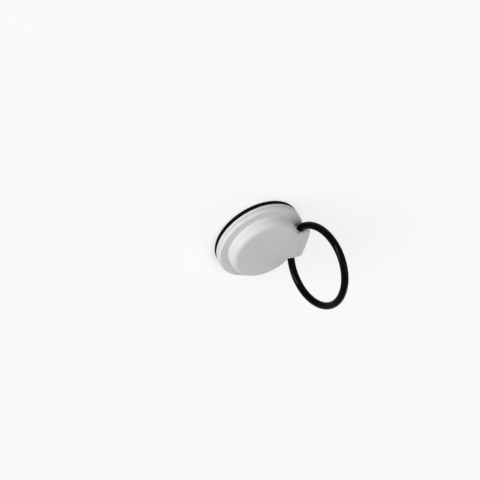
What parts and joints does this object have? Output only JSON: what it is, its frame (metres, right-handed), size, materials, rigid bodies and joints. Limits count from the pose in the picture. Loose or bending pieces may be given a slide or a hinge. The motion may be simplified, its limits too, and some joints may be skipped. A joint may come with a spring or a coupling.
{
  "type": "phone ring holder",
  "caption": "Round stick-on phone holder: a foam pad and base plate carry a turning stepped disc with a tab, from which a wire finger ring swings up as a grip or stand.",
  "frame": {"origin": "middle of the pad's sticking face, on the axis that the disc turns on", "axes": "+Z out of the surface it sticks to, along the disc's axis; +X from the disc's axis to the tab at rest; +Y along the ring's axle"},
  "size_m": [0.0357, 0.033, 0.0352],
  "materials": {
    "white_plastic": "white injection-moulded plastic with a fine satin skin",
    "black_foam": "dense matt black adhesive foam",
    "black_paint": "gloss black coating on steel wire",
    "steel": "plain bright steel"
  },
  "bodies": {
    "base": {"adhesive_pad": "black_foam", "base_plate": "white_plastic"},
    "swivel": {"turntable": "white_plastic", "cover": "white_plastic", "cover_screws": "steel", "axle_spring": "steel", "pivot_screw": "steel", "pivot_washer": "steel", "dish_washer": "steel"},
    "ring": {"ring": "black_paint"}
  },
  "joints": [
    {"name": "disc_turn", "type": "hinge", "parent": "base", "child": "swivel", "pos_m": [0, 0, 0], "axis": [0, 0, 1], "continuous": true},
    {"name": "ring_fold", "type": "hinge", "parent": "swivel", "child": "ring", "pos_m": [0.01319, 0, 0.00622], "axis": [0, 1, 0], "range_deg": [-99.5, 80.5]}
  ]
}
